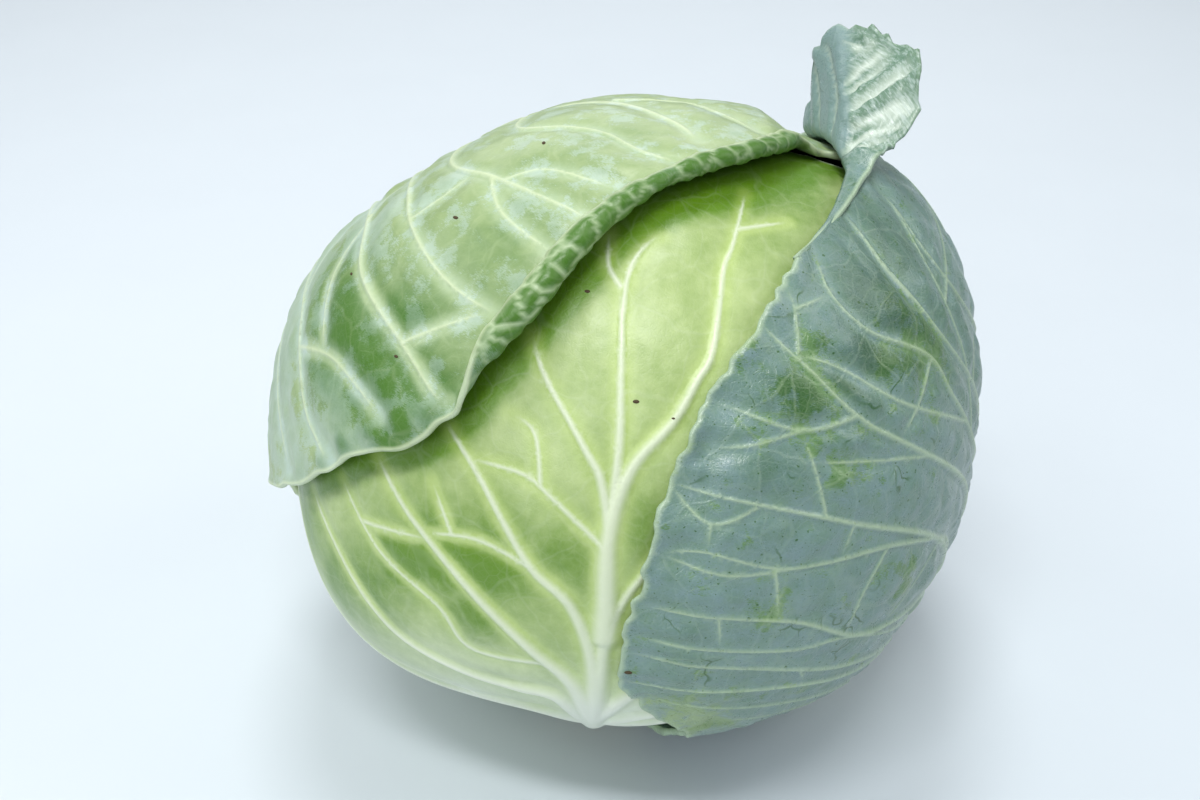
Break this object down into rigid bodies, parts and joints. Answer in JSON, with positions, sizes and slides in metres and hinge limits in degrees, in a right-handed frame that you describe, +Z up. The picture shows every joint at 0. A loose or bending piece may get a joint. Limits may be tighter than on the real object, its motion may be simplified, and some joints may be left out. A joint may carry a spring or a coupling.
{
  "type": "white cabbage",
  "caption": "White cabbage: a tight round head in wrapper leaves. The loose outer leaves have a rolled-back edge and a flared, peeled tip.",
  "frame": {"origin": "on the surface the cabbage rests on, below the middle of the head, on the flattened patch", "axes": "+Z up, -Y towards the front where the stem end and the pale front leaf face, +X to the right of someone looking at the front"},
  "size_m": [0.1988, 0.1998, 0.1931],
  "materials": {
    "stem_cut": "pale, damp cut stump with a browned rim",
    "heart_leaf": "pale yellow-green inner leaf, smooth",
    "inner_leaf": "light green leaf, thin wax, soft gloss",
    "front_leaf": "pale lime leaf with white ribs, glossy",
    "left_leaf": "mid-green leaf with cream veins, soft gloss",
    "right_leaf": "blue-green leaf under a grey wax bloom, rubbed in places"
  },
  "bodies": {
    "root": {"stem": "stem_cut", "heart": "heart_leaf", "side_leaf": "inner_leaf", "back_leaf": "inner_leaf", "front_leaf": "front_leaf", "left_leaf": "left_leaf", "right_leaf": "right_leaf"}
  },
  "joints": []
}
